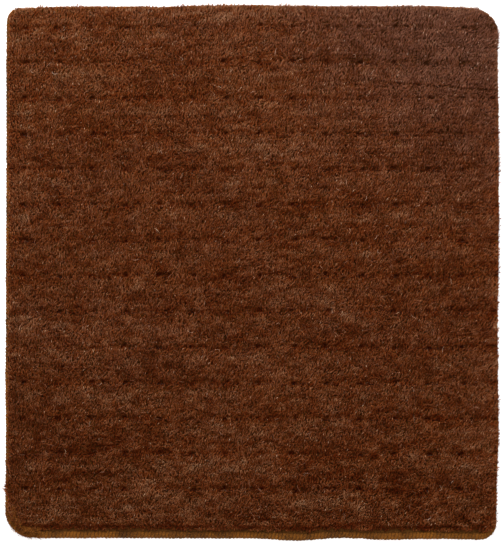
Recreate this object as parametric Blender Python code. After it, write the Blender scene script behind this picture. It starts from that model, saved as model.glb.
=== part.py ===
"""A hand-woven pile door mat, 600 x 650 x 20 mm, as its separate pieces.

From the floor up: a backing cloth, a ground cloth, fourteen tie threads that lie on it, and between
them fifteen bands of leaning pile. A cord and a serged yarn sleeve finish the edge.
Metres, +Z up, +Y towards the end that the pile leans to. The origin is on the floor, mid-mat.
"""

import math

import bmesh
import bpy

# Driving dimensions, in metres
MAT_WIDTH = 0.600
MAT_LENGTH = 0.650
MAT_HEIGHT = 0.020
GAP = 0.0003  # clearance between pieces that touch
CORNER_RADII = (0.034, 0.021, 0.035, 0.017)  # near left, near right, far right, far left
ARC_STEPS = 5  # straight steps in each corner's arc
LEAST_CORNER_RADIUS = 0.002

# Cloths
BACKING_THICKNESS = 0.0020
BACKING_INSET = 0.0115
GROUND_THICKNESS = 0.0022
GROUND_INSET = 0.0051

# Edge finish
SERGING_BOTTOM = 0.0001
SERGING_HEIGHT = 0.0063
SERGING_DEPTH = 0.0095
SERGING_WALL = 0.0012
SERGING_CHAMFER = 0.0015  # stands for the rounded outer edge
EDGE_CORD_RADIUS = 0.0016
SEAM_THREAD_RADIUS = 0.0006

# Ties
TIE_ROWS = 14
TIE_ROW_PITCH = 0.0433
FAR_EDGE_TO_FIRST_ROW = 0.0230
TIE_THREAD_RADIUS = 0.0008
TIE_THREAD_END_INSET = 0.0115

# Pile
LEAN_X = 0.0018  # how far the tips lean to +X
LEAN_Y = 0.0048  # how far the tips lean to +Y
PILE_SIDE_INSET = 0.0020  # of the fullest outline, before its lean
PILE_END_INSET = 0.0050
PILE_ROOT_SIDE_INSET = 0.0098
PILE_ROOT_END_INSET = 0.0098
SHOULDER = 0.0030  # height and width of the rounded upper edge
SHOULDER_SHARE_UP = 0.65  # the shoulder's middle point, as shares of its height and width
SHOULDER_SHARE_IN = 0.25
VALLEY_RADIUS = 0.0045  # rounding of each band beside a groove
CROWN_STEPS = 4
OVERLAP = 0.001  # how far a shape runs past the one that it is cut against

# Heights worked out from the stack
GROUND_BOTTOM = BACKING_THICKNESS + GAP
GROUND_TOP = GROUND_BOTTOM + GROUND_THICKNESS
PILE_ROOT = GROUND_TOP + GAP
TIE_THREAD_HEIGHT = PILE_ROOT + TIE_THREAD_RADIUS
CHANNEL_TOP = TIE_THREAD_HEIGHT + TIE_THREAD_RADIUS + GAP
CLEAR_OF_SERGING = SERGING_BOTTOM + SERGING_HEIGHT + 2 * GAP
EDGE_CORD_HEIGHT = SERGING_BOTTOM + SERGING_HEIGHT / 2

COLOURS = {
    "pile": (0.085, 0.026, 0.010),
    "ground": (0.230, 0.110, 0.030),
    "backing": (0.300, 0.190, 0.090),
    "serging": (0.220, 0.098, 0.022),
    "thread": (0.045, 0.020, 0.009),
}


def clear_scene():
    for item in list(bpy.data.objects):
        bpy.data.objects.remove(item)


def new_collection(name, hidden=False):
    made = bpy.data.collections.new(name)
    bpy.context.scene.collection.children.link(made)
    made.hide_render = hidden
    return made


def yarn_material(name, colour, roughness=0.9):
    """A matt fibre finish in one colour."""
    made = bpy.data.materials.new(name)
    made.use_nodes = True
    shader = made.node_tree.nodes["Principled BSDF"]
    shader.inputs["Base Color"].default_value = (*colour, 1.0)
    shader.inputs["Roughness"].default_value = roughness
    return made


def mat_outline(side_inset, end_inset, shift_x=0.0, shift_y=0.0):
    """Points of the mat's rounded outline, drawn in from its edge, anticlockwise from above."""
    signs = ((-1, -1), (1, -1), (1, 1), (-1, 1))
    points = []
    for corner, (sign_x, sign_y) in enumerate(signs):
        radius = max(CORNER_RADII[corner] - min(side_inset, end_inset), LEAST_CORNER_RADIUS)
        centre_x = sign_x * (MAT_WIDTH / 2 - side_inset - radius) + shift_x
        centre_y = sign_y * (MAT_LENGTH / 2 - end_inset - radius) + shift_y
        for step in range(ARC_STEPS + 1):
            angle = math.pi + (corner + step / ARC_STEPS) * math.pi / 2
            points.append((centre_x + radius * math.cos(angle), centre_y + radius * math.sin(angle)))
    return points


def flat_curve(name, points, collection):
    """A closed 2D curve through the points, not yet given a thickness."""
    data = bpy.data.curves.new(name, "CURVE")
    data.dimensions = "2D"
    spline = data.splines.new("POLY")
    spline.points.add(len(points) - 1)
    for point, (x, y) in zip(spline.points, points):
        point.co = (x, y, 0.0, 1.0)
    spline.use_cyclic_u = True
    made = bpy.data.objects.new(name, data)
    collection.objects.link(made)
    return made


def cloth(name, inset, bottom, thickness, material, collection):
    """A flat sheet of cloth with the mat's outline."""
    made = flat_curve(name, mat_outline(inset, inset), collection)
    made.data.fill_mode = "BOTH"
    made.data.extrude = thickness / 2
    made.location.z = bottom + thickness / 2
    made.data.materials.append(material)
    return made


def edge_ring(name, place, collection, material, radius=0.0):
    """A closed tube that follows the mat's edge all round. Its place is its inset and its height."""
    inset, height = place
    made = flat_curve(name, mat_outline(inset, inset), collection)
    made.data.dimensions = "3D"
    made.data.twist_mode = "Z_UP"
    made.data.bevel_depth = radius
    made.data.bevel_resolution = 1
    made.location.z = height
    made.data.materials.append(material)
    return made


def serging_section(collection):
    """The sleeve's section: open towards the mat, where it laps over and under the ground cloth."""
    half, wall, depth, chamfer = SERGING_HEIGHT / 2, SERGING_WALL, SERGING_DEPTH, SERGING_CHAMFER
    inner_chamfer = chamfer + wall / 3
    outside = [(0, half - chamfer), (chamfer, half), (depth, half)]
    inside = [(depth, half - wall), (inner_chamfer, half - wall), (wall, half - inner_chamfer)]
    upper = outside + inside
    lower = [(x, -y) for x, y in reversed(upper)]
    inward = [(-x, y) for x, y in reversed(upper + lower)]
    return flat_curve("serging_section", inward, collection)


def edge_serging(collection, cutters, material):
    """The yarn wound round the edge, as a plain sleeve over the edge cord and the cloth's rim."""
    section = serging_section(cutters)
    section.hide_render = True
    section.display_type = "WIRE"
    made = edge_ring("edge_serging", (0.0, EDGE_CORD_HEIGHT), collection, material)
    made.data.bevel_mode = "OBJECT"
    made.data.bevel_object = section
    return made


def straight_cord(name, start, end, radius, collection, material):
    """A cord between two points, with closed ends."""
    data = bpy.data.curves.new(name, "CURVE")
    data.dimensions = "3D"
    data.bevel_depth = radius
    data.bevel_resolution = 1
    data.use_fill_caps = True
    spline = data.splines.new("POLY")
    spline.points.add(1)
    spline.points[0].co = (*start, 1.0)
    spline.points[1].co = (*end, 1.0)
    data.materials.append(material)
    made = bpy.data.objects.new(name, data)
    collection.objects.link(made)
    return made


def row_root_y(row):
    """Where a groove's tie thread lies. Row 1 is nearest the near edge."""
    at_tips = MAT_LENGTH / 2 - FAR_EDGE_TO_FIRST_ROW - (TIE_ROWS - row) * TIE_ROW_PITCH
    return at_tips - LEAN_Y


def tie_threads(collection, material):
    """One thread across the mat in each groove between bands."""
    reach = MAT_WIDTH / 2 - TIE_THREAD_END_INSET
    for row in range(1, TIE_ROWS + 1):
        start = (-reach, row_root_y(row), TIE_THREAD_HEIGHT)
        end = (reach, row_root_y(row), TIE_THREAD_HEIGHT)
        straight_cord(f"tie_thread_{row:02d}", start, end, TIE_THREAD_RADIUS, collection, material)


def loft(name, rings, collection):
    """A closed solid through rings of equally many points, from the lowest to the highest."""
    shape = bmesh.new()
    levels = [[shape.verts.new(point) for point in ring] for ring in rings]
    count = len(levels[0])
    for lower, upper in zip(levels, levels[1:]):
        for i in range(count):
            j = (i + 1) % count
            shape.faces.new((lower[i], lower[j], upper[j], upper[i]))
    shape.faces.new(list(reversed(levels[0])))
    shape.faces.new(levels[-1])
    data = bpy.data.meshes.new(name)
    shape.to_mesh(data)
    shape.free()
    made = bpy.data.objects.new(name, data)
    collection.objects.link(made)
    return made


def lean_share(height):
    """How much of its lean the pile has at a height, from 0 at the root to 1 at the tips."""
    return (height - PILE_ROOT) / (MAT_HEIGHT - PILE_ROOT)


def pile_envelope(collection):
    """The whole pile as one block: upright beside the serging, then flared and leaning over it."""
    widest = MAT_HEIGHT - SHOULDER
    middle = SHOULDER * SHOULDER_SHARE_IN
    levels = (
        (PILE_ROOT, PILE_ROOT_SIDE_INSET, PILE_ROOT_END_INSET),
        (CLEAR_OF_SERGING, PILE_ROOT_SIDE_INSET, PILE_ROOT_END_INSET),
        (widest, PILE_SIDE_INSET, PILE_END_INSET),
        (widest + SHOULDER * SHOULDER_SHARE_UP, PILE_SIDE_INSET + middle, PILE_END_INSET + middle),
        (MAT_HEIGHT, PILE_SIDE_INSET + SHOULDER, PILE_END_INSET + SHOULDER),
    )
    rings = []
    for height, side, end in levels:
        share = min(max((height - CLEAR_OF_SERGING) / (widest - CLEAR_OF_SERGING), 0.0), 1.0)
        ring = mat_outline(side, end, LEAN_X * share, LEAN_Y * share)
        rings.append([(x, y, height) for x, y in ring])
    return loft("pile_envelope", rings, collection)


def band_section(near, far):
    """A band's section as (y, z): a foot clear of the tie threads, then a round crown."""
    foot = TIE_THREAD_RADIUS + GAP
    side = GAP / 2
    crown = []
    for step in range(CROWN_STEPS + 1):
        angle = step / CROWN_STEPS * math.pi / 2
        inward = VALLEY_RADIUS * (1 - math.sin(angle))
        crown.append((inward, MAT_HEIGHT - VALLEY_RADIUS * (1 - math.cos(angle))))
    lifted = [(inward, height + OVERLAP) for inward, height in crown]
    far_side = [(foot, PILE_ROOT - OVERLAP), (foot, CHANNEL_TOP), (side, CHANNEL_TOP + foot)]
    far_side += [(side + inward, height) for inward, height in reversed(lifted)]
    points = [(far - inward, height) for inward, height in far_side]
    points += [(near + inward, height) for inward, height in reversed(far_side)]
    return [(y + LEAN_Y * lean_share(z), z) for y, z in points]


def prism_across(name, section, collection):
    """A section drawn as (y, z), run across the whole mat, as a mesh."""
    drawn = flat_curve(name + "_section", section, collection)
    drawn.data.fill_mode = "BOTH"
    drawn.data.extrude = MAT_WIDTH / 2 + OVERLAP
    drawn.rotation_euler = (math.pi / 2, 0.0, math.pi / 2)
    bpy.context.view_layer.update()
    placed = drawn.matrix_world.copy()
    data = bpy.data.meshes.new_from_object(drawn.evaluated_get(bpy.context.evaluated_depsgraph_get()))
    bpy.data.objects.remove(drawn)
    shape = bmesh.new()
    shape.from_mesh(data)
    bmesh.ops.remove_doubles(shape, verts=shape.verts, dist=0.00001)
    shape.to_mesh(data)
    shape.free()
    data.name = name
    made = bpy.data.objects.new(name, data)
    made.matrix_world = placed
    collection.objects.link(made)
    return made


def pile_bands(collection, cutters, material):
    """The bands of pile between the grooves, numbered from the near edge."""
    envelope = pile_envelope(cutters)
    envelope.hide_render = True
    envelope.display_type = "WIRE"
    past_edge = MAT_LENGTH / 2 + SHOULDER + VALLEY_RADIUS
    lines = [-past_edge] + [row_root_y(row) for row in range(1, TIE_ROWS + 1)] + [past_edge]
    for band, (near, far) in enumerate(zip(lines, lines[1:]), start=1):
        made = prism_across(f"pile_band_{band:02d}", band_section(near, far), collection)
        clip = made.modifiers.new("clip", "BOOLEAN")
        clip.object = envelope
        clip.operation = "INTERSECT"
        made.data.materials.append(material)


def main():
    clear_scene()
    parts = new_collection("door_mat")
    cutters = new_collection("cutters", hidden=True)
    finishes = {name: yarn_material(name, colour) for name, colour in COLOURS.items()}

    cloth("backing_cloth", BACKING_INSET, 0.0, BACKING_THICKNESS, finishes["backing"], parts)
    cloth("ground_cloth", GROUND_INSET, GROUND_BOTTOM, GROUND_THICKNESS, finishes["ground"], parts)

    cord_place = (SERGING_WALL + GAP + EDGE_CORD_RADIUS, EDGE_CORD_HEIGHT)
    edge_ring("edge_cord", cord_place, parts, finishes["ground"], EDGE_CORD_RADIUS)
    edge_serging(parts, cutters, finishes["serging"])
    seam_place = ((SERGING_DEPTH + BACKING_INSET) / 2, GAP + SEAM_THREAD_RADIUS)
    edge_ring("backing_seam_thread", seam_place, parts, finishes["serging"], SEAM_THREAD_RADIUS)

    tie_threads(parts, finishes["thread"])
    pile_bands(parts, cutters, finishes["pile"])


main()
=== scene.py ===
# %% [markdown]
# # A hand-made pile door mat
# The mat is a thick woven cloth with deep pile on it. Threads tie the pile down in fourteen rows, yarn is
# wound round the edge, and a second cloth lines the underside. The plain solids of every piece are loaded
# first. Each piece is then made again as it really is: fibres, twisted yarns and woven cloth, all worked
# out as numpy arrays. Lengths are in metres, the mat lies on z = 0, and its pile leans to +Y.

# %% Load the plain model
import math

import bpy
import numpy as np
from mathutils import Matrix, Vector


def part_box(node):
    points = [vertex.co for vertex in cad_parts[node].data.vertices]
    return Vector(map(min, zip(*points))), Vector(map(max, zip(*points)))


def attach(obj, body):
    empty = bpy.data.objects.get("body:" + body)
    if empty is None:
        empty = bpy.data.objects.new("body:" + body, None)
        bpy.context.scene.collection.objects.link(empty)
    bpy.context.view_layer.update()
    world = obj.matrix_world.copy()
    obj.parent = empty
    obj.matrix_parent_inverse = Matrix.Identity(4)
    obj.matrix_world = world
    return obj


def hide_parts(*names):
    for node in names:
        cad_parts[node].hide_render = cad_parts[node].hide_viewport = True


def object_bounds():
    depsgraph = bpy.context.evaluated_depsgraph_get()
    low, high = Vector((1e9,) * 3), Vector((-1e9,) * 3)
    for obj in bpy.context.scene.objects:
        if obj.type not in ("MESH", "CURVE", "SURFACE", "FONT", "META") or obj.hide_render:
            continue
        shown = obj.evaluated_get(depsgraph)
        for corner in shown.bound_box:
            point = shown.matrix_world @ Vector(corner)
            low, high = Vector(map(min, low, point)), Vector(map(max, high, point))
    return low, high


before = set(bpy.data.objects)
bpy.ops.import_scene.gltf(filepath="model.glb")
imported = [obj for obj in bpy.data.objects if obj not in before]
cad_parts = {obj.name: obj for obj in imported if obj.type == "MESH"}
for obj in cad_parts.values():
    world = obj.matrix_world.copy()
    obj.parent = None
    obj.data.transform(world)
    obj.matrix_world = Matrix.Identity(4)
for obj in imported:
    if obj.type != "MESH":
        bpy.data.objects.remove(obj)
cad_box = [list(corner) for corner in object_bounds()]
print("nodes:", len(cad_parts), "box:", cad_box)

# %% [markdown]
# ## Sizes
# Everything is placed from the plain solids, so that each new piece lies where its solid does. The mat's
# half sizes give the outline, the cloth's top gives the height that the pile grows from, and the tie
# threads give the grooves. The few sizes that the solids don't hold, such as a yarn's thickness or the
# distance between two ties in a row, are named here in millimetres.

# %% Sizes
MM = 0.001
half_width, half_length, mat_top = np.array(cad_box[1])
backing_low, backing_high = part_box("backing_cloth")
ground_low, ground_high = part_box("ground_cloth")
serging_low, serging_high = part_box("edge_serging")
band_names = sorted(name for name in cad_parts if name.startswith("pile_band_"))
thread_names = sorted(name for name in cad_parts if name.startswith("tie_thread_"))
pile_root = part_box(band_names[0])[0][2]
root_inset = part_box(band_names[1])[0][0] + half_width
LEAN = np.array([1.8, 4.8]) * MM  # how far the pile's tips lean
CORNERS = np.array([34, 21, 35, 17]) * MM  # near left, near right, far right, far left
groove_roots = np.array([(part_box(n)[0][1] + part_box(n)[1][1]) / 2 for n in thread_names])
groove_lines = groove_roots + LEAN[1] - 1.6 * MM  # where the grooves show, between the tips
TIE_PITCH, FIRST_TIE, TIE_COLUMNS = 40.9 * MM, 23.6 * MM, 15
tie_lines = -half_width + FIRST_TIE + TIE_PITCH * np.arange(TIE_COLUMNS)
print("bands:", len(band_names), "grooves:", len(groove_lines), "pile from", round(pile_root, 4))

# %% [markdown]
# ## A hand-made outline
# The plain outline is a true rectangle with four round corners. A real mat is never so true: its far edge
# bows out, its near edge slopes a little, and its right side draws in. Two functions hold this. One gives
# the distance to the rounded outline, which says what is inside. The other moves any array of points by up
# to 4 mm, and every piece passes through it, so that they still fit each other.

# %% Outline functions
def outside_by(x, y, side_inset, end_inset):
    """Signed distance from the rounded outline, drawn in by the two insets. Negative inside.
    With q = |p| - half size + r, it is the length of max(q, 0), plus min(max(qx, qy), 0), less r."""
    corner = np.where(y < 0, np.where(x < 0, 0, 1), np.where(x > 0, 2, 3))
    radius = np.maximum(CORNERS[corner] - min(side_inset, end_inset), 2 * MM)
    qx = np.abs(x) - (half_width - side_inset) + radius
    qy = np.abs(y) - (half_length - end_inset) + radius
    return np.hypot(np.maximum(qx, 0), np.maximum(qy, 0)) + np.minimum(np.maximum(qx, qy), 0) - radius


def patches(x, y, size, seed):
    """Smooth noise from -1 to 1 in patches of the given size: random values on a square lattice,
    blended between their four neighbours with the weight 3t^2 - 2t^3."""
    values = np.random.default_rng(seed).uniform(-1, 1, (1024, 1024))
    px, py = x / size + 300, y / size + 300
    ix, iy = np.floor(px).astype(int), np.floor(py).astype(int)
    tx, ty = px - ix, py - iy
    tx, ty = tx * tx * (3 - 2 * tx), ty * ty * (3 - 2 * ty)
    near = values[ix % 1024, iy % 1024] * (1 - tx) + values[(ix + 1) % 1024, iy % 1024] * tx
    far = values[ix % 1024, (iy + 1) % 1024] * (1 - tx) + values[(ix + 1) % 1024, (iy + 1) % 1024] * tx
    return near * (1 - ty) + far * ty


def hand_made(points):
    """Points moved off the true rectangle. With u and v from -1 to 1 across and along the mat, the far
    corners drop by 2.4 u^2 mm, the near edge slopes by 1.2 u mm, and the sides lean by v times 1.1 mm on
    the right and 0.5 mm on the left. Each edge wanders as well, by up to 1.8 mm, or half of that on the
    left, which fades towards the middle as the fourth power."""
    u, v = points[..., 0] / half_width, points[..., 1] / half_length
    moved = points.copy()
    moved[..., 1] -= (2.4 * u**2 * np.maximum(v, 0) + 1.2 * u * np.maximum(-v, 0)) * MM
    moved[..., 0] += (1.1 * np.maximum(u, 0) + 0.5 * np.maximum(-u, 0)) * v * MM
    wander = 1.8 * MM * patches(points[..., 1], np.sign(u), 65 * MM, 29) * u**4
    moved[..., 0] += wander * np.where(u < 0, 0.5, 1)
    moved[..., 1] += 1.8 * MM * patches(points[..., 0], np.sign(v), 55 * MM, 30) * v**4
    return moved


def round_outline(inset, count):
    """Count points at equal steps round the outline, anticlockwise from above, with their outward
    directions. Each corner is a quarter circle about its own centre; straight runs join them."""
    quarter = np.linspace(0, math.pi / 2, 24)
    signs = np.array([[-1, -1], [1, -1], [1, 1], [-1, 1]])
    runs, outs = [], []
    for i, sign in enumerate(signs):
        radius = max(CORNERS[i] - inset, 2 * MM)
        out = np.stack([np.cos(quarter + math.pi * (1 + i / 2)), np.sin(quarter + math.pi * (1 + i / 2))], 1)
        runs.append(sign * (np.array([half_width, half_length]) - inset - radius) + radius * out)
        outs.append(out)
    corners, out = np.concatenate(runs), np.concatenate(outs)
    corners, out = np.vstack([corners, corners[:1]]), np.vstack([out, out[:1]])
    along = np.concatenate([[0], np.cumsum(np.linalg.norm(np.diff(corners, axis=0), axis=1))])
    at = np.linspace(0, along[-1], count, endpoint=False)
    xy = np.stack([np.interp(at, along, corners[:, k]) for k in (0, 1)], 1)
    normal = np.stack([np.interp(at, along, out[:, k]) for k in (0, 1)], 1)
    return xy, normal / np.linalg.norm(normal, axis=1, keepdims=True), along[-1]


print("outline length:", round(round_outline(0.0, 8)[2], 4))

# %% [markdown]
# ## From arrays to a mesh
# Every piece below ends as arrays of points and of faces, so one function turns those into an object. It
# writes whole arrays with foreach_set, which takes a fraction of a second for a hundred thousand faces,
# where adding faces one by one takes minutes. A second function carries a ring of points along a path,
# which is how each yarn, cord and thread is made.

# %% Mesh helpers
def new_piece(name, points, corners, sizes, material, nodes=(), values=None, uv=None):
    """An object from points (n, 3), the corners of all faces in one list, and each face's corner count.
    It rides on the mat, wears one material, and stands for the plain nodes named."""
    mesh = bpy.data.meshes.new(name)
    mesh.vertices.add(len(points))
    mesh.vertices.foreach_set("co", hand_made(points).astype(np.float32).ravel())
    mesh.loops.add(len(corners))
    mesh.loops.foreach_set("vertex_index", corners.astype(np.int32))
    mesh.polygons.add(len(sizes))
    starts = np.concatenate([[0], np.cumsum(sizes)[:-1]])
    mesh.polygons.foreach_set("loop_start", starts.astype(np.int32))
    mesh.polygons.foreach_set("use_smooth", np.ones(len(sizes), bool))
    if values is not None:
        fibre = mesh.color_attributes.new("fibre", "FLOAT_COLOR", "POINT")
        fibre.data.foreach_set("color", values.astype(np.float32).ravel())
    if uv is not None:
        mesh.uv_layers.new(name="OFBake").uv.foreach_set("vector", uv.astype(np.float32).ravel())
    mesh.update(calc_edges=True)
    mesh.validate()
    mesh.materials.append(material)
    made = bpy.data.objects.new(name, mesh)
    bpy.context.scene.collection.objects.link(made)
    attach(made, "root")
    if nodes:
        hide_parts(*nodes)
    print(f"{name}: {len(points)} points, {int(np.sum(np.asarray(sizes) - 2))} triangles")
    return made


def quads_between(rings, count, closed):
    """Corners of the quads that join each ring of points to the next, for rings stored one by one."""
    ring = np.arange(rings if closed else rings - 1)[:, None] * count
    after = (ring + count) % (rings * count)
    i, j = np.arange(count), (np.arange(count) + 1) % count
    return np.stack([ring + i, ring + j, after + j, after + i], -1).reshape(-1)


def carried(path, side, up, section, closed):
    """A section (c, 2) carried along a path (n, 3): point = path + a * side + b * up. An open one gets a
    flat cap at each end. Returns points, corners and sizes."""
    rings, count = len(path), section.shape[-2]
    a, b = section[..., 0][..., None], section[..., 1][..., None]
    points = path[:, None] + a * side[:, None] + b * up[:, None]
    corners = quads_between(rings, count, closed)
    sizes = np.full(len(corners) // 4, 4)
    if not closed:
        first, last = np.arange(count)[::-1], np.arange(count) + (rings - 1) * count
        corners = np.concatenate([corners, first, last])
        sizes = np.concatenate([sizes, [count, count]])
    return points.reshape(-1, 3), corners, sizes


def frames_along(path, closed):
    """Two unit directions across a path: the first level where it can be, the second square to both."""
    step = np.roll(path, -1, 0) - np.roll(path, 1, 0)
    if not closed:
        step[0], step[-1] = path[1] - path[0], path[-1] - path[-2]
    step /= np.linalg.norm(step, axis=1, keepdims=True)
    side = np.cross(step, [0, 0, 1.0])
    side /= np.linalg.norm(side, axis=1, keepdims=True)
    return side, np.cross(side, step)


def circle(count, width, height):
    """An ellipse's points, clockwise as seen along the path, so that faces turn outwards."""
    turn = np.arange(count) / count * 2 * math.pi
    return np.stack([width / 2 * np.cos(turn), -height / 2 * np.sin(turn)], 1)


# %% [markdown]
# ## Colours and materials
# Each finish is named for what the real one is. All are plant or wool fibre, so all are dielectric and
# rough, and the yarns have a faint sheen from the fine fibres that stand up. What makes them look real is
# uneven colour: every fibre takes the dye a little differently, tips bleach with light, and roots stay
# darker, partly as painted shade deep in the pile.
# Colours are sRGB hex values, which one function turns to the linear values that Blender works with.

# %% Material helpers
def linear(code):
    """An sRGB hex colour as linear RGBA: v / 12.92 up to 0.04045, else ((v + 0.055) / 1.055)^2.4."""
    srgb = np.array([int(code[i:i + 2], 16) for i in (1, 3, 5)]) / 255
    rgb = np.where(srgb <= 0.04045, srgb / 12.92, ((srgb + 0.055) / 1.055) ** 2.4)
    return (*rgb.tolist(), 1.0)


def add_node(tree, kind, inputs=None, stops=None, **settings):
    """Adds a node of a kind, such as Math for ShaderNodeMath. An input's value is a constant or another
    node's output; stops fill a colour ramp."""
    made = tree.nodes.new("ShaderNode" + kind)
    for name, value in settings.items():
        setattr(made, name, value)
    for name, value in (inputs or {}).items():
        if isinstance(value, bpy.types.NodeSocket):
            tree.links.new(value, made.inputs[name])
        else:
            made.inputs[name].default_value = value
    if stops:
        for place, code in stops[1:-1]:
            made.color_ramp.elements.new(place)
        for element, (place, code) in zip(made.color_ramp.elements, stops):
            element.position, element.color = place, linear(code)
    return made


def new_material(name, roughness, sheen=0.02, specular=0.25):
    """A fibre finish with its shader's constants set. Returns it with its tree and its shader."""
    made = bpy.data.materials.new(name)
    made.use_nodes = True
    shader = made.node_tree.nodes["Principled BSDF"]
    shader.inputs["Roughness"].default_value = roughness
    shader.inputs["IOR"].default_value = 1.54
    shader.inputs["Specular IOR Level"].default_value = specular
    shader.inputs["Sheen Weight"].default_value = sheen
    shader.inputs["Sheen Roughness"].default_value = 0.5
    return made, made.node_tree, shader


# %% [markdown]
# ### Dyed wool pile
# Coarse hand-spun wool, dyed chestnut in the fleece, so that dark, red, orange and grey-brown hairs lie side
# by side. Each strand carries four numbers: its own tone, the place along it from root to tip, the tone of
# the wool round it with painted light and shade in it, and how grey it is. The first three add up to a
# level, with slow noise in Object coordinates, which are metres on the mat; the place along makes the roots
# darker, partly as painted shade deep in the pile. Two ramps turn that level into hair colour, one for red
# hair and one for grey. Their dark ends are the strongest in colour, as light that comes out from deep in
# dyed wool has met many hairs.

# %% Dyed wool
def dyed_wool():
    """Level = 0.5 tone + 0.5 local tone + 0.33 along + 0.12 cloud - 0.365, which picks the colour on both
    ramps. The local tone carries painted light and shade, and along makes the roots darker, partly as
    painted shade deep in the pile, and the tips paler. The clouds are some 30 mm wide."""
    made, tree, shader = new_material("dyed_wool_pile", 0.85, 0.0, 0.03)
    fibre = add_node(tree, "Attribute", attribute_name="fibre")
    parts = add_node(tree, "SeparateColor", {"Color": fibre.outputs["Color"]})
    tone, along, clump_and_shade = parts.outputs
    place = add_node(tree, "TexCoord").outputs["Object"]
    cloud = add_node(tree, "TexNoise", {"Vector": place, "Scale": 30.0, "Detail": 4.0})
    level = add_node(tree, "Math", {0: tone, 1: 0.5, 2: -0.365}, operation="MULTIPLY_ADD")
    # The local tone brings painted light and shade, and along darkens the roots, partly as painted shade
    # deep in the pile.
    for value, share in ((clump_and_shade, 0.5), (along, 0.33), (cloud.outputs["Fac"], 0.12)):
        level = add_node(tree, "Math", {0: value, 1: share, 2: level.outputs[0]}, operation="MULTIPLY_ADD")
    reds = [(0.0, "#320A00"), (0.25, "#622307"), (0.5, "#864721"), (0.75, "#A2704B"), (1.0, "#C6A07E")]
    greys = [(0.0, "#200D04"), (0.25, "#522C16"), (0.5, "#7E503C"), (0.75, "#9E755E"), (1.0, "#CAAA94")]
    red_hair = add_node(tree, "ValToRGB", {"Fac": level.outputs[0]}, reds)
    grey_hair = add_node(tree, "ValToRGB", {"Fac": level.outputs[0]}, greys)
    hair = add_node(tree, "Mix", {"Factor": fibre.outputs["Alpha"], 6: red_hair.outputs["Color"],
                                  7: grey_hair.outputs["Color"]}, data_type="RGBA")
    tree.links.new(hair.outputs[2], shader.inputs["Base Color"])
    return made


wool = dyed_wool()
print("made", wool.name)

# %% [markdown]
# ### Spun and woven finishes
# The edge yarn, the cord in it and the threads are all plied, so one function makes them: strands that wind
# round the yarn show as slanting stripes of painted light and shade, dark in the grooves between the plies,
# which the piece's own map carries. The map's u runs along the yarn in metres and v once round it. The two
# cloths are plain weave, over one and under one. A chequer of crossing sine waves in Object coordinates
# paints each thread paler on its crown and darker where it dives under, as painted light and shade.

# %% Spun yarn
def spun_yarn(name, dark, pale, ply_pitch, roughness=0.9):
    """A plied yarn. Stripes slant where u / ply_pitch + v is whole; fine noise breaks them into fibres."""
    made, tree, shader = new_material(name, roughness, specular=0.1)
    around = add_node(tree, "UVMap", uv_map="winding")
    scaled = add_node(tree, "Mapping", {"Vector": around.outputs["UV"], "Scale": (1 / ply_pitch, 1.0, 1.0)})
    axes = add_node(tree, "SeparateXYZ", {"Vector": scaled.outputs["Vector"]})
    slant = add_node(tree, "Math", {0: axes.outputs["X"], 1: axes.outputs["Y"]}, operation="ADD")
    turn = add_node(tree, "Math", {0: slant.outputs[0], 1: 2 * math.pi}, operation="MULTIPLY")
    wave = add_node(tree, "Math", {0: turn.outputs[0]}, operation="SINE")
    place = add_node(tree, "TexCoord").outputs["Object"]
    hairs = add_node(tree, "TexNoise", {"Vector": place, "Scale": 900.0, "Detail": 4.0})
    blotch = add_node(tree, "TexNoise", {"Vector": place, "Scale": 35.0, "Detail": 2.0})
    # The sine stripes are painted shade in the grooves between the plies and painted light on their crowns.
    rise = add_node(tree, "MapRange", {"Value": wave.outputs[0], "From Min": -1.0, "To Min": -0.18,
                                       "To Max": 0.18})
    both = add_node(tree, "Math", {0: hairs.outputs["Fac"], 1: rise.outputs[0]}, operation="ADD")
    third = add_node(tree, "Math", {0: both.outputs[0], 1: blotch.outputs["Fac"]}, operation="ADD")
    level = add_node(tree, "Math", {0: third.outputs[0], 1: 0.5}, operation="SUBTRACT")
    colour = add_node(tree, "ValToRGB", {"Fac": level.outputs[0]}, [(0.15, dark), (0.85, pale)])
    tree.links.new(colour.outputs["Color"], shader.inputs["Base Color"])
    bump = add_node(tree, "Bump", {"Height": both.outputs[0], "Strength": 0.5, "Distance": 0.3 * MM})
    tree.links.new(bump.outputs["Normal"], shader.inputs["Normal"])
    return made


serging_wool = spun_yarn("ochre_serging_wool", "#1E0F02", "#7A4810", 3.0 * MM)
jute_cord = spun_yarn("jute_cord", "#6B4A28", "#A98455", 6.0 * MM)
tie_cotton = spun_yarn("waxed_tie_cotton", "#1C120C", "#4A3424", 2.0 * MM, 0.7)
seam_linen = spun_yarn("linen_seam_thread", "#8A6A45", "#C2A175", 2.0 * MM)
print("made", serging_wool.name, jute_cord.name, tie_cotton.name, seam_linen.name)


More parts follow.
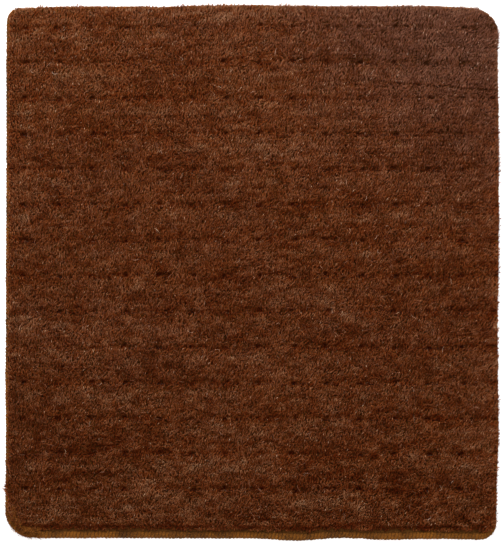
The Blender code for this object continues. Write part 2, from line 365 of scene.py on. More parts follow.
# %% Woven cloth
def woven(name, dark, pale, thread):
    """Plain weave with threads this far apart: crowns where sin(pi x / t) * sin(pi y / t) is far from 0."""
    made, tree, shader = new_material(name, 0.92, 0.0, 0.05)
    place = add_node(tree, "TexCoord").outputs["Object"]
    axes = add_node(tree, "SeparateXYZ", {"Vector": place})
    waves = []
    for axis in ("X", "Y"):
        phase = add_node(tree, "Math", {0: axes.outputs[axis], 1: math.pi / thread}, operation="MULTIPLY")
        waves.append(add_node(tree, "Math", {0: phase.outputs[0]}, operation="SINE").outputs[0])
    cross = add_node(tree, "Math", {0: waves[0], 1: waves[1]}, operation="MULTIPLY")
    crown = add_node(tree, "Math", {0: cross.outputs[0]}, operation="ABSOLUTE")
    slubs = add_node(tree, "TexNoise", {"Vector": place, "Scale": 160.0, "Detail": 4.0})
    soiled = add_node(tree, "TexNoise", {"Vector": place, "Scale": 12.0, "Detail": 3.0})
    # The crowns are painted paler and each thread darker where it dives under, as painted light and shade.
    mixed = add_node(tree, "Math", {0: crown.outputs[0], 1: 0.45, 2: slubs.outputs["Fac"]},
                     operation="MULTIPLY_ADD")
    shade = add_node(tree, "Math", {0: soiled.outputs["Fac"], 1: 0.5, 2: mixed.outputs[0]},
                     operation="MULTIPLY_ADD")
    colour = add_node(tree, "ValToRGB", {"Fac": shade.outputs[0]}, [(0.45, dark), (1.25, pale)])
    tree.links.new(colour.outputs["Color"], shader.inputs["Base Color"])
    bump = add_node(tree, "Bump", {"Height": crown.outputs[0], "Strength": 0.8, "Distance": 0.5 * MM})
    tree.links.new(bump.outputs["Normal"], shader.inputs["Normal"])
    return made


jute_backing = woven("woven_jute_backing", "#6A4E30", "#B8976A", 2.6 * MM)
# The ground cloth's jute is painted dark brown as painted shade, for it lies in shade under the pile and
# behind the winding.
jute_ground_painted_shade = woven("woven_jute_ground", "#2C1606", "#5C3814", 2.2 * MM)
print("made", jute_backing.name, jute_ground_painted_shade.name)

# %% [markdown]
# ## The two cloths
# The backing lies flat on the floor and the ground cloth carries the pile. Each is a closed sheet: a grid
# of points above and one below, joined round the rim. The grid's points are drawn in to the rounded
# outline by scaling each row to the outline's width there. Slow waves lift the top of the ground cloth a
# little, as cloth does between its stitches, and the backing lies flat.

# %% Cloths
def cloth_piece(name, low, high, inset, ripple, material):
    """A closed sheet between two heights. Row by row, x runs over the outline's half width at that y,
    which is found on the corner circles; the top carries ripples in patches of 30 mm."""
    columns, rows = 40, 80
    u, v = np.meshgrid(np.linspace(-1, 1, columns), np.linspace(-1, 1, rows))
    y = v * (half_length - inset)
    reach = []
    for right in (0, 1):
        radius = np.where(v < 0, CORNERS[right], CORNERS[3 - right]) - inset
        radius = np.maximum(radius, 2 * MM)
        into = np.clip(np.abs(y) - (half_length - inset - radius), 0, radius)
        reach.append(half_width - inset - radius + np.sqrt(radius**2 - into**2))
    x = np.where(u < 0, u * reach[0], u * reach[1])
    wave = ripple * patches(x, y, 30 * MM, 3)
    top = np.stack([x, y, np.full_like(x, high[2]) + wave], -1).reshape(-1, 3)
    under = np.stack([x, y, np.full_like(x, low[2])], -1).reshape(-1, 3)
    index = np.arange(rows * columns).reshape(rows, columns)
    a, b, c, d = index[:-1, :-1], index[:-1, 1:], index[1:, 1:], index[1:, :-1]
    upper = np.stack([a, b, c, d], -1).reshape(-1, 4)
    lower = np.stack([d, c, b, a], -1).reshape(-1, 4) + rows * columns
    rim = np.concatenate([index[0], index[1:, -1], index[-1, -2::-1], index[-2:0:-1, 0]])
    after = np.roll(rim, -1)
    wall = np.stack([rim, rim + rows * columns, after + rows * columns, after], 1)
    faces = np.concatenate([upper, lower, wall])
    made = new_piece(name, np.concatenate([top, under]), faces.reshape(-1), np.full(len(faces), 4), material,
                     [name])


backing_inset = float(backing_low[0] + half_width)
ground_inset = float(ground_low[0] + half_width)
cloth_piece("backing_cloth", backing_low, backing_high, backing_inset, 0.0, jute_backing)
cloth_piece("ground_cloth", ground_low, ground_high, ground_inset, 0.1 * MM, jute_ground_painted_shade)

# %% [markdown]
# ## The wound edge
# A cord lies along the rim, and ochre yarn is wound round it and the cloth's edge, turn beside turn, all
# round the mat. A real winding is a helix, so it is made as one: the yarn's centre goes round a flattened
# loop while the loop moves along the outline by one yarn width for each turn. Looked at from above, each
# turn is a rib across the edge. Hand winding is uneven, so each turn is a little fuller or slacker.

# %% Edge winding
YARN_WIDTH, YARN_THICK = 4.3 * MM, 1.9 * MM
EDGE_DEPTH = 9.5 * MM  # from the rim to the inner side of the winding
STEPS_PER_TURN, YARN_SIDES = 14, 8


def winding():
    """Loop: inset = c - a cos(t)^s and z = m + b sin(t)^s, with the powers below 1 for a boxy loop.
    The centre line moves along the outline by 1 / turns of its length while t goes round once. The map's
    step is longer than the real one, which packs the plies closer."""
    turns = int(round_outline(0.0, 8)[2] / YARN_WIDTH)
    count = turns * STEPS_PER_TURN
    mid_inset, half_depth = EDGE_DEPTH / 2, EDGE_DEPTH / 2 - YARN_THICK / 2
    height = (serging_high[2] + serging_low[2]) / 2
    half_height = (serging_high[2] - serging_low[2]) / 2 - YARN_THICK / 2
    xy, out, _ = round_outline(0.0, count)
    t = np.arange(count) / STEPS_PER_TURN * 2 * math.pi
    turn = np.arange(count) // STEPS_PER_TURN
    fuller = np.random.default_rng(21).normal(0, 0.2 * MM, turns)[turn]
    across = np.sign(np.cos(t)) * np.abs(np.cos(t)) ** 0.75
    rise = np.sign(np.sin(t)) * np.abs(np.sin(t)) ** 0.6
    inset = mid_inset - across * (half_depth + fuller)
    z = height + rise * half_height + np.where(rise > 0, fuller, 0)
    path = np.column_stack([xy - out * inset[:, None], z])
    step = np.roll(path, -1, 0) - np.roll(path, 1, 0)
    step /= np.linalg.norm(step, axis=1, keepdims=True)
    middle = np.column_stack([xy - out * mid_inset, np.full(count, height)])
    away = path - middle
    away -= step * (away * step).sum(1, keepdims=True)
    away /= np.linalg.norm(away, axis=1, keepdims=True)
    side = np.cross(step, away)
    section = circle(YARN_SIDES, YARN_WIDTH * 0.98, YARN_THICK)
    return *carried(path, side, away, section[None], True), count, YARN_WIDTH


def winding_map(rings, count, step, closed):
    """A corner map for a carried section: u is the length along it in metres, v once round."""
    ring = np.arange(rings if closed else rings - 1)[:, None] * np.ones(count)
    i = np.ones(ring.shape) * np.arange(count)
    u = np.stack([ring, ring, ring + 1, ring + 1], -1) * step
    v = np.stack([i, i + 1, i + 1, i], -1) / count
    return np.stack([u, v], -1).reshape(-1, 2)


def add_yarn(name, made, sides, closed, material):
    """A carried piece and its map, from its points, corners, sizes, number of rings and the step between
    them. On the map, the two caps of an open piece stay at zero."""
    points, corners, sizes, rings, step = made
    piece = new_piece(name, points, corners, sizes, material, [name])
    found = winding_map(rings, sides, step, closed)
    every = np.zeros((len(piece.data.loops), 2))
    every[:len(found)] = found
    piece.data.uv_layers.new(name="winding").uv.foreach_set("vector", every.astype(np.float32).ravel())


add_yarn("edge_serging", winding(), YARN_SIDES, True, serging_wool)

# %% [markdown]
# ## The cord in the edge and the seam under it
# Both follow the outline at a fixed inset. The cord is three plies twisted together, so its section is a
# circle with three lobes that turns as it goes along. The seam holds the backing to the ground cloth with
# running stitches: the thread shows below, rises through the cloth, and comes down again.

# %% Cord and seam
CORD_SIDES, THREAD_SIDES = 12, 6


def along_outline(inset, steps_per_metre):
    """The outline's points at an inset, so many to a metre, with its length and how many there are."""
    count = int(round_outline(inset, 8)[2] * steps_per_metre)
    xy, _, length = round_outline(inset, count)
    return xy, length, count


def three_ply(inset, height, radius, twist):
    """Radius r (1 + 0.12 cos(3 (a - k s))): three lobes that turn once every twist metres."""
    xy, length, count = along_outline(inset, 450)
    path = np.column_stack([xy, np.full(count, height)])
    side, up = frames_along(path, True)
    angle = np.arange(CORD_SIDES) / CORD_SIDES * 2 * math.pi
    turned = angle[None] - 2 * math.pi * np.round(length / twist) * np.arange(count)[:, None] / count
    r = radius * (1 + 0.12 * np.cos(3 * turned))
    section = np.stack([r * np.cos(angle), -r * np.sin(angle)], -1)
    return *carried(path, side, up, section, True), count, length / count


cord_low, cord_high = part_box("edge_cord")
cord_radius = float(cord_high[2] - cord_low[2]) / 2
cord_inset = float(cord_low[0] + half_width) + cord_radius
cord_height = float(cord_high[2] + cord_low[2]) / 2
cord = three_ply(cord_inset, cord_height, cord_radius * 0.92, 9 * MM)
add_yarn("edge_cord", cord, CORD_SIDES, True, jute_cord)


def running_seam(inset, low, high, stitch):
    """z = low + (high - low) * smooth wave, once down and once up every two stitches."""
    xy, length, count = along_outline(inset, 320)
    phase = np.arange(count) / count * np.round(length / (2 * stitch)) * 2 * math.pi
    wave = np.clip(1.6 * np.sin(phase), -1, 1) / 2 + 0.5
    path = np.column_stack([xy, low + (high - low) * wave])
    side, up = frames_along(path, True)
    section = circle(THREAD_SIDES, 1.1 * MM, 1.1 * MM)
    return *carried(path, side, up, section[None], True), count, length / count


seam_inset = float(half_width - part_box("backing_seam_thread")[1][0]) + 0.6 * MM
seam = running_seam(seam_inset, low=0.9 * MM, high=2.0 * MM, stitch=6 * MM)
add_yarn("backing_seam_thread", seam, THREAD_SIDES, True, seam_linen)

# %% [markdown]
# ## The tie threads
# Each groove has one thread. It shows above the cloth only between a dimple and the place 13 mm to the
# right of it where it dives again, and runs inside the cloth's thickness between those. Its path is a
# level line whose height follows a wave with short highs and long lows.

# %% Tie threads
TIE_SPAN = 13.4 * MM
TIE_RADIUS, TIE_STEPS = 0.8 * MM, 340


def tie_thread(y, seed):
    """x runs evenly across the mat; z = low + (high - low) * h, where h is 1 on the short stitch and falls
    to 0 past its ends over 2 mm."""
    reach = float(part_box(thread_names[0])[1][0])
    x = np.linspace(-reach, reach, TIE_STEPS)
    from_tie = (x - (tie_lines[0] - LEAN[0])) % TIE_PITCH
    beyond = np.where(from_tie < TIE_SPAN, 0, np.minimum(from_tie - TIE_SPAN, TIE_PITCH - from_tie))
    shown = 1 - np.clip(beyond / (2 * MM), 0, 1)
    z = (pile_root - TIE_RADIUS) + 2 * TIE_RADIUS * shown
    wander = 0.25 * MM * patches(x, np.full_like(x, y), 20 * MM, seed)
    path = np.column_stack([x, y + wander, z])
    side, up = frames_along(path, False)
    section = circle(THREAD_SIDES, 2 * TIE_RADIUS, 2 * TIE_RADIUS)
    return *carried(path, side, up, section[None], False), TIE_STEPS, 2 * reach / TIE_STEPS


for number, name in enumerate(thread_names):
    thread = tie_thread(groove_roots[number], 40 + number)
    add_yarn(name, thread, THREAD_SIDES, False, tie_cotton)

# %% [markdown]
# ## The pile
# This is what one sees of the mat, so it is modelled as real fibre and not as a bumpy surface. Some
# 257,000 strands stand for the millions of hairs. Each is a three-sided spindle with one bend, five points
# and six triangles, which is enough at the size of a hair. They are worked out together as arrays, from
# the tips down, because it is the tips that show: a staggered grid of tips, moved at random, gives even
# cover. Four things then shape them: the height of the pile at each place, the lean of the nap, the tuft
# that each strand belongs to, and the ties, which pull the tips round them down and inwards.

# %% Heights of the pile
def ties():
    """Each tie's place and strength: the grid of grooves and columns, with each tie moved by up to 2.6 mm
    across and 1.8 mm along."""
    random = np.random.default_rng(7)
    shape = (len(groove_lines), TIE_COLUMNS)
    x = tie_lines[None] + random.uniform(-2.6, 2.6, shape) * MM
    y = groove_lines[:, None] + random.uniform(-1.8, 1.8, shape) * MM
    return x, y, random.uniform(0.45, 1.15, shape)


tie_x, tie_y, tie_strength = ties()


def nearest_tie(x, y, shift=0.0):
    """For each point, the vector to it from the nearest tie, moved right by shift, and its strength."""
    row = np.abs(y[:, None] - groove_lines[None]).argmin(1)
    column = np.clip(np.round((x - shift - tie_lines[0]) / TIE_PITCH), 0, TIE_COLUMNS - 1).astype(int)
    dx, dy = x - shift - tie_x[row, column], y - tie_y[row, column]
    return dx, dy, tie_strength[row, column]


def groove_distance(x, y):
    """Signed distance from the nearest groove, positive on its far side. A groove bows 4 mm to the far side
    midway between two ties, and wanders by up to 2.4 mm."""
    row = np.abs(y[:, None] - groove_lines[None]).argmin(1)
    between = 0.5 - 0.5 * np.cos(2 * math.pi * (x - tie_lines[0]) / TIE_PITCH)
    bow = 4.0 * MM * between + 2.4 * MM * patches(x, y, 22 * MM, 11)
    return y - groove_lines[row] - bow


TUFT_ROW = 43.3 / 8 * MM
LEAST_HEIGHT = 2.0 * MM  # of the tips over their roots, at the bottom of a pit
NEAR_HOLLOW = 16.0 * MM  # from the near edge to the hollow behind the winding
PARTING_X, PARTING_Y = 130 * MM, 236 * MM  # where the parting starts


def tie_shape(x, y):
    """Five hills of about 0 to 1, each e^-(d / w)^2 at distance d: the pit at each tie, a lesser one where
    its thread comes back up, the groove between ties, the swell of pile that a groove pushes up on its near
    side, and the near hollow."""
    away = groove_distance(x, y)
    dx, dy, strength = nearest_tie(x, y)
    pit = strength * np.exp(-(dx / (3.6 * MM)) ** 2 - (dy / (2.9 * MM)) ** 2)
    dx2, dy2, strength2 = nearest_tie(x, y, TIE_SPAN)
    lesser = strength2 * np.exp(-(dx2 / (2.8 * MM)) ** 2 - (dy2 / (2.4 * MM)) ** 2)
    width = np.where(away < 0, 6.0, 4.0) * MM
    groove = 0.75 * np.exp(-(away / (1.3 * MM)) ** 2) + 0.45 * np.exp(-(away / width) ** 2)
    groove = groove * (0.75 + 0.4 * patches(x, y, 18 * MM, 18))
    beside = 0.2 + 0.8 * np.exp(-((dx - 4 * MM) / (10 * MM)) ** 2)
    swell = beside * np.exp(-((away + 17.5 * MM) / (7.0 * MM)) ** 2)
    hollow = np.exp(-((y + half_length - NEAR_HOLLOW) / (2.6 * MM)) ** 2)
    return pit, lesser, groove, swell, hollow * np.clip(0.8 + 0.7 * patches(x, y * 0, 45 * MM, 19), 0, 1)


def combed_rows(x, y):
    """Gaps between tuft rows where the far right is combed: (1 - |sin|)^2 across the rows, which drift by
    3 mm."""
    rows = (1 - np.abs(np.sin(math.pi * (y + 3 * MM * patches(x, y, 60 * MM, 20)) / TUFT_ROW))) ** 2
    combed = np.clip(3.0 * x / half_width - 0.3, 0, 1) * np.clip(2.2 * y / half_length, 0, 1)
    return rows * combed * np.clip(0.7 + 0.8 * patches(x, y, 35 * MM, 26), 0, 1)


def parting(x, y):
    """Distance from the one long parting, which runs down to the right, and its strength from 0 to 1."""
    line = PARTING_Y - 0.07 * (x - PARTING_X) + 0.8 * MM * patches(x, y * 0, 14 * MM, 27)
    strength = np.exp(-((y - line) / (1.2 * MM)) ** 2) * np.clip((x - PARTING_X) / (40 * MM), 0, 1)
    return y - line, strength


def greyed(x, y):
    """How far each place belongs to the combed, greyer area at the far right: a product of two slopes."""
    return np.clip(1.6 * x / half_width - 0.1, 0, 1) * np.clip(1.7 * y / half_length - 0.3, 0, 1)


def pile_height(x, y):
    """Height of the tips: the full height, less the grooves, the pits and the near hollow, plus the swell,
    less slight dips between tuft rows and along the parting, plus unevenness in patches of four sizes. The
    combed far right is flatter."""
    pit, lesser, groove, swell, hollow = tie_shape(x, y)
    uneven = 0.3 * patches(0.5 * x, y, 45 * MM, 12) + 0.5 * patches(0.6 * x, y, 15 * MM, 13)
    uneven += 0.9 * patches(0.4 * x, y, 5 * MM, 21) + 0.6 * patches(0.35 * x, y, 2.8 * MM, 36)
    drop = 3.8 + 2.1 * groove + 12.0 * pit + 4.5 * lesser - 3.2 * swell + 4.5 * hollow
    drop += 1.6 * combed_rows(x, y) + 2.4 * parting(x, y)[1] + 1.6 * greyed(x, y) * (swell - groove)
    uneven *= 1 - 0.4 * greyed(x, y)
    return np.maximum(mat_top - (drop - uneven) * MM, pile_root + LEAST_HEIGHT)


print("ties:", tie_x.size, "height at a tie:", round(float(pile_height(tie_x[5:6, 5], tie_y[5:6, 5])[0]), 4))

# %% Strands from tips to roots
SPACING = 1.22 * MM
BEND = 0.6  # height of each strand's bend, as a share of its own
SIDE_INSET, END_INSET = 0.8 * MM, 2.8 * MM  # of the tips' outline before it leans
NEAR_INSET = 5.4 * MM  # more of it at the near edge, where the pile leans away
CORNER_REACH = 30 * MM  # round the near left corner, where the pile stops short of the edge
BULGE_Y = -262 * MM  # where one tuft hangs over the left edge
SPECKS = 22  # small tufts of paler orange wool


def scattered_tips():
    """A staggered grid of tips at the given spacing, each moved by up to 0.45 of it, kept inside the
    leaning outline. Its edge is lumpy by 1.3 mm and ragged by up to 3 mm, is drawn in round the near left
    corner, and bulges where a tuft hangs over the left side. Returns how far inside each tip is as well."""
    random = np.random.default_rng(5)
    reach = np.array([half_width, half_length]) + 8 * MM
    x, y = np.meshgrid(np.arange(-reach[0], reach[0], SPACING), np.arange(-reach[1], reach[1], SPACING))
    x = x + SPACING / 2 * (np.arange(len(x)) % 2)[:, None]
    x = (x + random.uniform(-0.45, 0.45, x.shape) * SPACING).ravel()
    y = (y + random.uniform(-0.45, 0.45, y.shape) * SPACING).ravel()
    edge = np.maximum(outside_by(x - LEAN[0], y - LEAN[1], SIDE_INSET, END_INSET),
                      LEAN[1] + END_INSET + NEAR_INSET - half_length - y)
    corner = np.hypot(x + half_width, y + half_length)
    edge = edge + 1.6 * MM * np.clip(1.6 - corner / CORNER_REACH, 0, 1)
    bulge = 8.0 * np.exp(-((y - BULGE_Y) / (7.5 * MM)) ** 2) * (x < 0)
    ragged = 1.3 * patches(x, y, 22 * MM, 14) + 3.0 * patches(x, y, 4 * MM, 22) ** 3
    kept = edge + (ragged - bulge) * MM < 0
    return x[kept], y[kept], -edge[kept]


def flare(x, y):
    """How far the pile spreads past its roots near an edge: e^(-d / w) of the full spread, at distance d
    from the edge of the tips."""
    spread_x, spread_y = root_inset - SIDE_INSET, root_inset - END_INSET
    from_side = half_width - SIDE_INSET - np.abs(x - LEAN[0])
    from_end = half_length - END_INSET - np.abs(y - LEAN[1])
    out_x = np.sign(x) * spread_x * np.exp(-np.maximum(from_side, 0) / (11 * MM))
    out_y = np.sign(y) * spread_y * np.exp(-np.maximum(from_end, 0) / (9 * MM))
    return out_x, out_y


def wool_numbers(x, y, random):
    """Each strand's tone, its local tone with painted light and shade in it, and its grey, from 0 to 1 or a
    little more. Swells are painted paler, for the light they catch as well as for wear, and pits, grooves,
    the near hollow, the gaps between combed rows and the parting are painted darker, as painted shade. The
    far right and the far edge are greyer, and the near rows less so and blotchier. A speck is a small tuft
    of paler wool, e^-(d / w)^2 at distance d, with no grey in it."""
    count = len(x)
    pit, lesser, groove, swell, hollow = tie_shape(x, y)
    u, v = x / half_width, y / half_length
    far_right = greyed(x, y)
    tone = np.clip(0.5 + random.normal(0, 0.165, count) * (1 - 0.25 * far_right), 0, 1)
    tone = np.where(random.uniform(0, 1, count) < 0.004, 1.5, tone)
    blotch = 0.17 * patches(0.4 * x, y, 5 * MM, 15) + 0.2 * patches(0.3 * x, y, 2.8 * MM, 37)
    blotch += 0.1 * patches(0.6 * x, y, 14 * MM, 16) + 0.1 * patches(0.4 * x, y, 40 * MM, 17)
    # Painted light and shade: swells painted paler for the light they catch as well as for wear; pits,
    # grooves, the near hollow, the gaps between combed rows and the parting painted darker as painted shade.
    light_shade_and_wear = 0.2 * (1 - 0.5 * far_right) * swell - 0.2 * groove - 0.9 * pit - 0.3 * lesser - 0.7 * hollow
    light_shade_and_wear -= 0.28 * combed_rows(x, y) + 0.3 * parting(x, y)[1]
    speck_x, speck_y = np.random.default_rng(35).uniform(-0.95, 0.95, (2, SPECKS))
    from_speck = np.hypot(x[:, None] - speck_x * half_width, y[:, None] - speck_y * half_length).min(1)
    speck = np.exp(-(from_speck / (1.9 * MM)) ** 2)
    far = 0.1 * np.clip(2.5 * v - 1.5, 0, 1) + 0.09 * np.exp((y - half_length) / (9 * MM))
    near_rows = np.clip(-2 * v - 0.6, 0, 1)
    blotch *= 1 - 0.5 * far_right + 0.25 * near_rows
    # This local tone mixes the wool's random blotches with the painted light and shade above.
    clump_and_shade = np.clip(0.49 + blotch + light_shade_and_wear + far + 0.04 * far_right, 0, 1)
    grey = random.normal(0.08, 0.18, count) + 0.75 * far_right - 0.12 * near_rows
    grey += 0.12 * patches(0.5 * x, y, 12 * MM, 23) + 0.08 * patches(0.4 * x, y, 50 * MM, 28)
    grey += 0.2 * np.clip(4 * v - 2.8, 0, 1) * np.clip(u + 0.9, 0, 1)
    return tone + 0.55 * speck, clump_and_shade, np.clip(grey, 0, 1) * (1 - speck)


def strands():
    """The root, bend and tip of every strand, its band, and its numbers for the wool's colour."""
    random = np.random.default_rng(6)
    x, y, inside = scattered_tips()
    count = len(x)
    dx, dy, strength = nearest_tie(x, y)
    near = strength * np.exp(-(np.hypot(dx, dy) / (6 * MM)) ** 2)
    tip_x, tip_y = x - 0.35 * near * dx, y - 0.35 * near * dy
    from_parting = parting(tip_x, tip_y)[0]
    beside = np.exp(-(from_parting / (2.5 * MM)) ** 2) * np.clip((tip_x - PARTING_X) / (40 * MM), 0, 1)
    tip_y = tip_y + np.sign(from_parting) * 0.6 * MM * beside
    height = pile_height(tip_x, tip_y) + np.clip(random.normal(0, 0.6, count), -1.2, 1.2) * MM
    height -= 3.0 * MM * np.clip(1 - inside / (4 * MM), 0, 1) ** 2
    height = np.maximum(height, pile_root + LEAST_HEIGHT / 2)
    out_x, out_y = flare(x, y)
    root_x = x - LEAN[0] - out_x + 1.6 * MM * patches(x, y, 7 * MM, 24)
    root_y = y - LEAN[1] - out_y + 1.6 * MM * patches(x, y, 7 * MM, 25)
    root_x = np.clip(root_x, -half_width + root_inset + MM, half_width - root_inset - MM)
    root_y = np.clip(root_y, -half_length + root_inset + MM, half_length - root_inset - MM)
    line = groove_roots[np.abs(root_y[:, None] - groove_roots[None]).argmin(1)]
    gap = 1.2 * MM  # room for the tie thread
    root_y = np.where(np.abs(root_y - line) < gap, line + np.where(root_y < line, -gap, gap), root_y)
    curl = random.normal(0, 1, (count, 2)) * np.array([1.15, 0.65]) * MM
    tip = np.column_stack([tip_x + curl[:, 0], tip_y + curl[:, 1], height - np.hypot(*curl.T) * 0.25])
    root = np.column_stack([root_x, root_y, np.full(count, pile_root)])
    bend = root + (tip - root) * np.array([0.7, 0.7, BEND]) + random.normal(0, 0.45, (count, 3)) * MM
    return root, bend, tip, np.searchsorted(groove_roots, root_y), *wool_numbers(x, y, random)


root, bend, tip, band_of, tone, clump_and_shade, grey = strands()
print("strands:", len(root), "per band:", np.bincount(band_of))


# %% One band as a mesh
STRAND_RADIUS = 0.45 * MM  # at the bend


def strand_mesh(root, bend, tip, tone, clump_and_shade, grey, seed):
    """Each strand is a long spindle: a point at the root, a triangle at the bend, and a point at the tip.
    The triangle lies across the strand, turned at random. The map gives each strand its own square cell."""
    random = np.random.default_rng(seed)
    count = len(root)
    way = tip - root
    way /= np.linalg.norm(way, axis=1, keepdims=True)
    side = np.cross(way, [0, 1.0, 0])
    side /= np.linalg.norm(side, axis=1, keepdims=True)
    other = np.cross(way, side)
    turn = random.uniform(0, 2 * math.pi, (count, 1)) + np.arange(3) * 2 * math.pi / 3
    across = np.cos(turn)[..., None] * side[:, None] + np.sin(turn)[..., None] * other[:, None]
    points = np.empty((count, 5, 3))
    points[:, 0] = root
    points[:, 1:4] = bend[:, None] + across * STRAND_RADIUS * random.uniform(0.75, 1.25, (count, 1, 1))
    points[:, 4] = tip
    triangles = np.array([[2, 1, 0], [3, 2, 0], [1, 3, 0], [1, 2, 4], [2, 3, 4], [3, 1, 4]]).reshape(-1)
    corners = (np.arange(count)[:, None] * 5 + triangles).reshape(-1)
    along = np.tile([0, BEND, BEND, BEND, 1.0], (count, 1))
    values = np.stack([np.repeat(tone[:, None], 5, 1), along, np.repeat(clump_and_shade[:, None], 5, 1),
                       np.repeat(grey[:, None], 5, 1)], -1)
    cells = math.ceil(math.sqrt(count))
    cell = np.stack([np.arange(count) % cells, np.arange(count) // cells], -1)
    strip = [[[i / 3, BEND], [(i + 1) / 3, BEND], [(i + 0.5) / 3, end]] for end in (0, 1) for i in range(3)]
    uv = (cell[:, None] + 0.08 + 0.84 * np.array(strip).reshape(-1, 2)) / cells
    return points.reshape(-1, 3), corners, np.full(6 * count, 3), values.reshape(-1, 4), uv.reshape(-1, 2)


for number, name in enumerate(band_names):
    mine = band_of == number
    points, corners, sizes, values, uv = strand_mesh(root[mine], bend[mine], tip[mine], tone[mine],
                                                     clump_and_shade[mine], grey[mine], 60 + number)
    new_piece(name, points, corners, sizes, wool, [name], values, uv)

# %% [markdown]
# ## Loose hairs
# Brushed wool always has loose hairs and pale specks on top, which catch the eye more than the pile does,
# and the edge yarn sheds short fibres that blur its outline. Each hair is a fine tube, thinner at its ends.
# A stray hair wanders over the tips and now and then dives between them. An edge fibre starts on the
# winding and springs outwards, and there are most of them at the worn near left corner.

# %% Hairs as tubes
def hair_tubes(path, radius):
    """Closed three-sided tubes along paths (n, rings, 3), whose radius follows a sine from end to end."""
    count, rings = path.shape[:2]
    step = np.gradient(path, axis=1)
    step /= np.linalg.norm(step, axis=2, keepdims=True)
    side = np.cross(step, [0.0, 0.3, 1.0])
    side /= np.linalg.norm(side, axis=2, keepdims=True)
    up = np.cross(side, step)
    taper = radius[:, None, None, None] * np.sin(np.linspace(0.3, 2.9, rings))[None, :, None, None]
    turn = np.arange(3)[:, None] * 2 * math.pi / 3
    points = path[:, :, None] + taper * (np.cos(turn) * side[:, :, None] - np.sin(turn) * up[:, :, None])
    body = quads_between(rings, 3, False)
    one = np.concatenate([body, [2, 1, 0], np.arange(3) + (rings - 1) * 3])
    corners = (np.arange(count)[:, None] * rings * 3 + one).reshape(-1)
    return points.reshape(-1, 3), corners, np.tile([4] * (len(body) // 4) + [3, 3], count)


def hair_values(rings, tone, along, clump_and_shade, grey):
    """The wool's four numbers, the same for all the points of a hair."""
    values = np.stack(np.broadcast_arrays(tone, along, clump_and_shade, grey), -1)
    return np.repeat(values, rings * 3, 0)


# %% Stray hairs
STRAYS, STRAY_RINGS = 2400, 7


def stray_hairs():
    """Each hair starts at random with a random heading, which turns by half a radian or so at each step.
    Its height is that of the tips, plus a slight wave."""
    random = np.random.default_rng(31)
    room = np.array([half_width, half_length]) - 18 * MM
    start = random.uniform(-1, 1, (STRAYS, 2)) * room
    turning = np.cumsum(random.normal(0, 0.45, (STRAYS, STRAY_RINGS)), 1)
    heading = random.uniform(0, 2 * math.pi, (STRAYS, 1)) + turning
    step = random.uniform(0.7, 1.7, (STRAYS, 1)) * MM
    x = start[:, :1] + np.cumsum(step * np.cos(heading), 1)
    y = start[:, 1:] + np.cumsum(step * np.sin(heading), 1)
    z = pile_height(x.ravel(), y.ravel()).reshape(x.shape) + random.normal(0.0, 0.4, x.shape) * MM
    radius = random.uniform(0.07, 0.17, STRAYS) * MM
    tone = np.where(random.uniform(0, 1, STRAYS) < 0.03, 1.3, random.uniform(0.3, 0.85, STRAYS))
    values = hair_values(STRAY_RINGS, tone, 1.0, 0.6, random.uniform(0, 0.8, STRAYS))
    return *hair_tubes(np.stack([x, y, z], -1), radius), values


points, corners, sizes, values = stray_hairs()
new_piece("stray_hairs", points, corners, sizes, wool, values=values)

# %% Edge fibres
EDGE_FIBRES, EDGE_RINGS, EDGE_PLACES = 4600, 4, 6000


def loose_ochre():
    """Ochre wool whose tone the fibre attribute holds."""
    made, tree, shader = new_material("loose_ochre_wool", 0.9, specular=0.05)
    fibre = add_node(tree, "Attribute", attribute_name="fibre")
    tone = add_node(tree, "SeparateColor", {"Color": fibre.outputs["Color"]}).outputs["Red"]
    colour = add_node(tree, "ValToRGB", {"Fac": tone}, [(0.0, "#2A1404"), (0.5, "#65350A"),
                                                        (1.0, "#A66524")])
    tree.links.new(colour.outputs["Color"], shader.inputs["Base Color"])
    return made


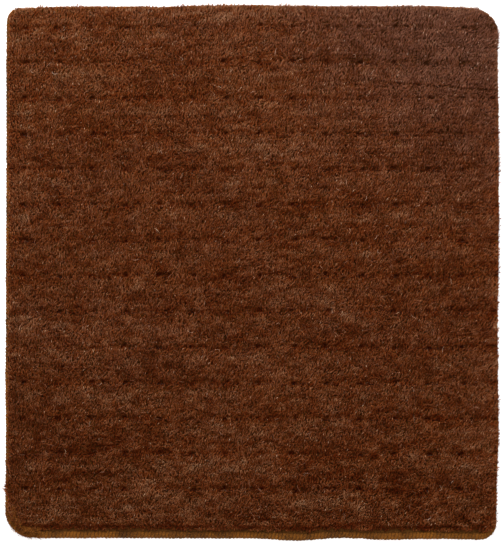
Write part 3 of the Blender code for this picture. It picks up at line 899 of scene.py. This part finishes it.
def edge_fibres():
    """Each starts over the winding at an inset of 0.3 to 8 mm and runs for a few millimetres, outwards and
    along the edge, in a slight arch. Three in ten are gathered at the near left corner, where they start up
    to 13 mm in, and lie on the pile past an inset of 7 to 11 mm."""
    random = np.random.default_rng(32)
    xy, out, _ = round_outline(0.0, EDGE_PLACES)
    corner = np.hypot(xy[:, 0] + half_width, xy[:, 1] + half_length) < 42 * MM
    everywhere = random.integers(0, EDGE_PLACES, EDGE_FIBRES)
    at_corner = random.choice(np.flatnonzero(corner), EDGE_FIBRES)
    gathered = random.uniform(0, 1, EDGE_FIBRES) < 0.3
    at = np.where(gathered, at_corner, everywhere)
    inset = random.uniform(0.3, 8.0, EDGE_FIBRES) * np.where(gathered, 1.6, 1.0) * MM
    rise = np.where(inset < 2 * MM, np.sqrt(np.maximum(inset * (4 * MM - inset), 0)) / (2 * MM), 1)
    z = serging_low[2] + (serging_high[2] - serging_low[2]) * (0.35 + 0.65 * rise)
    start = hand_made(np.column_stack([xy[at] - out[at] * inset[:, None], z]))
    over_pile = np.clip((inset / MM - 7) / 4, 0, 1)
    z = z + over_pile * (pile_height(start[:, 0], start[:, 1]) - 3.0 * MM - z)
    outwards = random.normal(0.1, 0.7, EDGE_FIBRES)
    sideways = random.choice([-1, 1], EDGE_FIBRES) * random.uniform(0.3, 1.0, EDGE_FIBRES)
    tangent = np.stack([-out[at, 1], out[at, 0]], 1)
    heading = out[at] * outwards[:, None] + tangent * sideways[:, None]
    heading /= np.linalg.norm(heading, axis=1, keepdims=True)
    reach = random.uniform(1.0, 4.5, EDGE_FIBRES) * np.where(gathered, 1.4, 1.0) * MM
    t = np.linspace(0, 1, EDGE_RINGS)
    bow = random.normal(0, 0.6, (EDGE_FIBRES, 1)) * MM * np.sin(math.pi * t)
    flat = (xy[at] - out[at] * inset[:, None])[:, None] + heading[:, None] * (reach[:, None] * t)[..., None]
    flat = flat + tangent[:, None] * bow[..., None]
    lift = random.uniform(0.2, 1.0, (EDGE_FIBRES, 1)) * MM * np.sin(math.pi * t) + 0.1 * MM
    path = np.concatenate([flat, (z[:, None] + lift)[..., None]], -1)
    values = hair_values(EDGE_RINGS, random.uniform(0.1, 0.9, EDGE_FIBRES), 1.0, 0.5, 0.0)
    return *hair_tubes(path, random.uniform(0.08, 0.17, EDGE_FIBRES) * MM), values


points, corners, sizes, values = edge_fibres()
new_piece("edge_fibres", points, corners, sizes, loose_ochre(), values=values)

# %% [markdown]
# ## Floor, light and camera
# A plain near-white floor and soft light from a studio sky, with one broad lamp beyond the far edge. It
# stands low enough that the ties' pits and the swells before them show, and is large enough that no shadow
# has a hard edge. The camera looks straight down through a long lens, so that the mat keeps its shape.

# %% Floor and light
FLOOR_SIDE, FLOOR_DROP = 24.0, 0.0002  # metres


def floor():
    """A square of painted floor just under the mat, almost one white all over."""
    made, tree, shader = new_material("painted_floor", 0.9, 0.0)
    place = add_node(tree, "TexCoord").outputs["Object"]
    faint = add_node(tree, "TexNoise", {"Vector": place, "Scale": 3.0})
    colour = add_node(tree, "ValToRGB", {"Fac": faint.outputs["Fac"]}, [(0.0, "#FAFAFA"), (1.0, "#FFFFFF")])
    tree.links.new(colour.outputs["Color"], shader.inputs["Base Color"])
    shader.inputs["Emission Color"].default_value = (1, 1, 1, 1)
    shader.inputs["Emission Strength"].default_value = 0.3
    ends = [(-1, -1), (1, -1), (1, 1), (-1, 1)]
    mesh = bpy.data.meshes.new("floor")
    mesh.from_pydata([(x * FLOOR_SIDE / 2, y * FLOOR_SIDE / 2, 0) for x, y in ends], [], [(0, 1, 2, 3)])
    mesh.materials.append(made)
    plane = bpy.data.objects.new("floor", mesh)
    bpy.context.scene.collection.objects.link(plane)
    plane.location.z = -FLOOR_DROP


def studio():
    """An even white sky, and one disk lamp that points at the mat from beyond its far edge."""
    world = bpy.data.worlds.new("studio_sky")
    world.use_nodes = True
    sky = world.node_tree.nodes["Background"]
    sky.inputs["Color"].default_value = (1, 1, 1, 1)
    sky.inputs["Strength"].default_value = 1.15
    bpy.context.scene.world = world
    lamp = bpy.data.lights.new("key_lamp", "AREA")
    lamp.shape, lamp.size, lamp.energy = "DISK", 1.6, 130.0
    key = bpy.data.objects.new("key_lamp", lamp)
    bpy.context.scene.collection.objects.link(key)
    key.location = (-0.5, 2.2, 2.1)
    key.rotation_euler = (Vector((0, 0, 0)) - key.location).to_track_quat("-Z", "Y").to_euler()


floor()
studio()
bpy.context.scene.view_settings.view_transform = "Standard"

# %% Camera
DISTANCE, SENSOR = 6.0, 36.0  # metres above the floor, and millimetres in the camera
VIEW_LENGTH = 664.0825 * MM  # of the floor, seen from end to end of the picture
lens = bpy.data.cameras.new("camera")
lens.sensor_width = SENSOR
lens.lens = SENSOR * DISTANCE / VIEW_LENGTH
camera = bpy.data.objects.new("camera", lens)
camera.location = (0, 0, DISTANCE)
bpy.context.scene.collection.objects.link(camera)
bpy.context.scene.camera = camera
print("lens:", round(lens.lens, 1))
